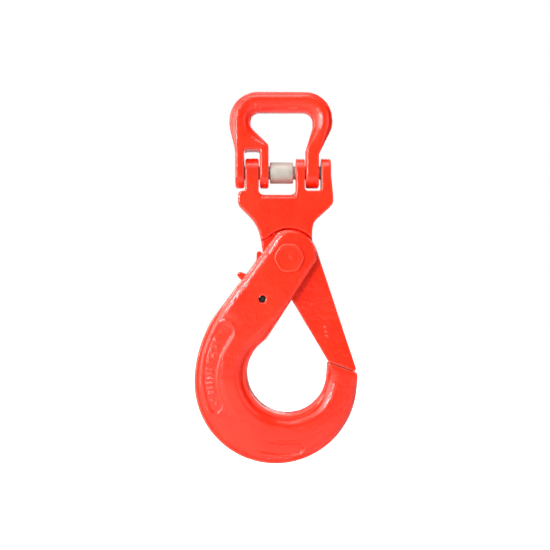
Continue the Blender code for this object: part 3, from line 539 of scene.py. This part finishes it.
# --- Turned pieces ----------------------------------------------------------------------
def turned(name, profile, segments, closed=False):
    """A solid turned about Y from (place, radius) pairs; a radius may be a function of the
    angle. A closed profile is a loop and makes a ring."""
    points, rows = [], []
    for along, radius in profile:
        row = []
        for i in range(segments):
            angle = 2 * math.pi * i / segments
            size = radius(angle) if callable(radius) else radius
            row.append(len(points))
            points.append((size * math.cos(angle), along, size * math.sin(angle)))
        rows.append(row)
    faces = []
    for a, b in zip(rows, rows[1:] + (rows[:1] if closed else [])):
        for i in range(segments):
            j = (i + 1) % segments
            faces.append((a[i], a[j], b[j], b[i]))
    if not closed:
        faces.append(tuple(rows[0]))
        faces.append(tuple(reversed(rows[-1])))
    mesh = bpy.data.meshes.new(name)
    mesh.from_pydata([Vector(p) * MM for p in points], [], faces)
    shape = bmesh.new()
    shape.from_mesh(mesh)
    bmesh.ops.remove_doubles(shape, verts=shape.verts, dist=1e-7)
    bmesh.ops.recalc_face_normals(shape, faces=shape.faces)
    shape.to_mesh(mesh)
    shape.free()
    return add_object(name, mesh)


def move_mesh(piece, centre, along_x=False):
    """Places a piece made round its own Y axis, with its position kept in the mesh."""
    for vertex in piece.data.vertices:
        x, y, z = vertex.co
        vertex.co = (Vector((y, -x, z)) if along_x else Vector((x, y, z))) + centre * MM
    piece.data.update()


def eased(corners, radius, steps=4):
    """Profile corners rounded to radius."""
    corners = [Vector(c) for c in corners]
    result = []
    for i, corner in enumerate(corners):
        before = corners[i - 1] - corner
        after = corners[(i + 1) % len(corners)] - corner
        reach = min(radius, before.length * 0.45, after.length * 0.45)
        start, end = corner + before.normalized() * reach, corner + after.normalized() * reach
        for k in range(steps + 1):
            t = k / steps
            result.append(start.lerp(corner, t).lerp(corner.lerp(end, t), t))
    return [tuple(p) for p in result]


def make_bush():
    low, high = node_box("coupling_bush")
    half = (high.x - low.x) / 2
    outer = (high.z - low.z) / 2
    inner = node_box("coupling_pin")[1].z - COUPLING.z + SKIN
    loop = [(-half, inner), (-half, outer), (half, outer), (half, inner)]
    piece = turned("bush", eased(loop, BUSH_EDGE), 128, closed=True)
    move_mesh(piece, COUPLING, along_x=True)
    place_piece(piece, "coupling_pin", "coupling_bush", plate)


def make_cross_pin():
    low, high = node_box("coupling_pin")
    radius = high.z - COUPLING.z
    ends = [(low.x, 0.05), (low.x, radius), (high.x, radius), (high.x, 0.05)]
    profile = [place for place in eased(ends, PIN_EDGE) if place[1] > 0.3]
    piece = turned("cross_pin", profile, 96)
    move_mesh(piece, Vector((0.0, COUPLING.y, COUPLING.z)), along_x=True)
    place_piece(piece, "coupling_pin", "coupling_pin", plate)


def hexagon(flat, corner):
    """A softened hexagon with a flat side down, as a radius of the angle."""

    def radius(angle):
        off = (math.degrees(angle) + 90.0 + 30.0) % 60.0 - 30.0
        side = flat / math.cos(math.radians(off))
        return corner - math.log1p(math.exp((corner - side) * 5.0)) / 5.0

    return radius


def make_rivet():
    """Front head: a low softened hexagon with a raised rim and a punched centre. Back head:
    a peened dome."""
    low, high = node_box("pivot_rivet")
    head = high.x - PIVOT.x
    seat = node_box("hook_body")[1].y
    front, back = low.y, high.y
    front_seat = -seat - SKIN
    profile = [
        (front + 0.46, 0.1),
        (front + 0.4, 0.4),
        (front + 0.28, 0.8),
        (front + 0.26, 3.0),
        (front + 0.24, hexagon(head - 3.0, head - 2.6)),
        (front + 0.14, hexagon(head - 1.7, head - 1.3)),
        (front + 0.0, hexagon(head - 1.25, head - 0.85)),
        (front + 0.12, hexagon(head - 0.9, head - 0.5)),
        (front + 0.5, hexagon(head - 0.6, head - 0.2)),
        (front_seat, hexagon(head - 0.5, head - 0.05)),
        (front_seat, RIVET_SHANK),
        (seat + SKIN, RIVET_SHANK),
        (seat + SKIN, head - 0.4),
        (seat + SKIN + 0.35, head - 0.25),
        (back - 0.6, head - 1.1),
        (back - 0.25, head - 2.6),
        (back - 0.08, head - 4.2),
        (back - 0.02, head - 5.8),
        (back, 2.0),
        (back, 1.0),
        (back, 0.3),
    ]
    piece = turned("rivet", profile, 144)
    move_mesh(piece, Vector((PIVOT.x, 0.0, PIVOT.z)))
    displace(piece, lambda points, normals: forged_skin(points, 21) * 0.5)
    place_piece(piece, "hook", "pivot_rivet", enamel)


def make_spring():
    """The trigger's torsion spring, the CAD node's mesh subdivided once. On the real hook one
    leg stays on the hook and the other turns with the trigger; here the piece stays as it
    stands."""
    mesh = frame["nodes"]["trigger_spring"].data.copy()
    piece = add_object("torsion_spring", mesh)
    # Known fault: the mesh isn't welded first, as soft_copy's is, so each facet is subdivided
    # alone and the spring comes out as loose patches.
    baked(piece, ("SUBSURF", {"levels": 1}))
    piece.data.materials.clear()
    piece.data.materials.append(steel)
    piece.data.shade_smooth()
    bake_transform(piece)
    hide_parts("trigger_spring")


def smaller_nodes():
    """CAD nodes that keep their own shape and take a finer material."""
    for node in ("bush_clip", "trigger_pin"):
        mesh = frame["nodes"][node].data
        mesh.materials.clear()
        mesh.materials.append(steel)


# --- Stage ------------------------------------------------------------------------------
def add_light(name, place, size, power):
    """A soft area light, aimed at the middle of the hook."""
    data = bpy.data.lights.new(name, "AREA")
    data.shape = "RECTANGLE"
    data.size, data.size_y = size
    data.energy = power
    lamp = add_object(name, data)
    lamp.location = place
    lamp.rotation_mode = "QUATERNION"
    lamp.rotation_quaternion = (middle - Vector(place)).to_track_quat("-Z", "Y")


def make_world():
    """Even white behind everything. The light that the hook gets comes from the left and
    above, and is dim at the front and on the right."""
    world = bpy.data.worlds.new("studio")
    bpy.context.scene.world = world
    world.use_nodes = True
    tree = world.node_tree
    tree.nodes.clear()
    place = tree.nodes.new("ShaderNodeTexCoord")
    facing = tree.nodes.new("ShaderNodeVectorMath")
    facing.operation = "DOT_PRODUCT"
    facing.inputs[1].default_value = BRIGHT_SIDE
    tree.links.new(place.outputs["Generated"], facing.inputs[0])
    span = tree.nodes.new("ShaderNodeMapRange")
    span.inputs["From Min"].default_value = -1.0
    tree.links.new(facing.outputs["Value"], span.inputs["Value"])
    tone = add_ramp(tree, span.outputs["Result"], WORLD_STOPS)
    lit = tree.nodes.new("ShaderNodeBackground")
    lit.inputs["Strength"].default_value = WORLD_STRENGTH
    tree.links.new(tone, lit.inputs["Color"])
    seen = tree.nodes.new("ShaderNodeBackground")
    seen.inputs["Color"].default_value = (1.0, 1.0, 1.0, 1.0)
    rays = tree.nodes.new("ShaderNodeLightPath")
    mix = tree.nodes.new("ShaderNodeMixShader")
    tree.links.new(rays.outputs["Is Camera Ray"], mix.inputs[0])
    tree.links.new(lit.outputs[0], mix.inputs[1])
    tree.links.new(seen.outputs[0], mix.inputs[2])
    output = tree.nodes.new("ShaderNodeOutputWorld")
    tree.links.new(mix.outputs[0], output.inputs["Surface"])


def make_floor():
    """A plain white floor a little below the hook."""
    size = FLOOR_HALF_SIZE
    height = cad_box[0].z - FLOOR_DROP
    around = ((-size, -size), (size, -size), (size, size), (-size, size))
    corners = [(x, y, height) for x, y in around]
    mesh = bpy.data.meshes.new("floor")
    mesh.from_pydata(corners, [], [(0, 1, 2, 3)])
    floor = add_object("floor", mesh)
    made, shader = new_material("floor_white", (0.6, 0.6, 0.6), 0.9, 0.0)
    tree = made.node_tree
    rays = tree.nodes.new("ShaderNodeLightPath")
    glow = add_mix(tree, rays.outputs["Is Camera Ray"], (0.08, 0.08, 0.08), (1.0, 1.0, 1.0))
    tree.links.new(glow, shader.inputs["Emission Color"])
    shader.inputs["Emission Strength"].default_value = 1.0
    mesh.materials.append(made)


def make_camera():
    data = bpy.data.cameras.new("camera")
    data.lens = LENS
    camera = add_object("camera", data)
    camera.location = Vector((middle.x, -CAMERA_DISTANCE, middle.z)) + CAMERA_OFFSET
    camera.rotation_euler = (math.radians(90.0), 0.0, 0.0)
    bpy.context.scene.camera = camera


middle = (cad_box[0] + cad_box[1]) / 2
enamel = enamel_material()
plate = plated_material()
steel = spring_material()
make_hook()
make_upper_body()
make_top_link()
make_trigger()
make_bush()
make_cross_pin()
make_rivet()
make_spring()
smaller_nodes()
make_world()
make_floor()
for light in LIGHTS:
    add_light(*light)
make_camera()
bpy.context.scene.view_settings.view_transform = "Standard"
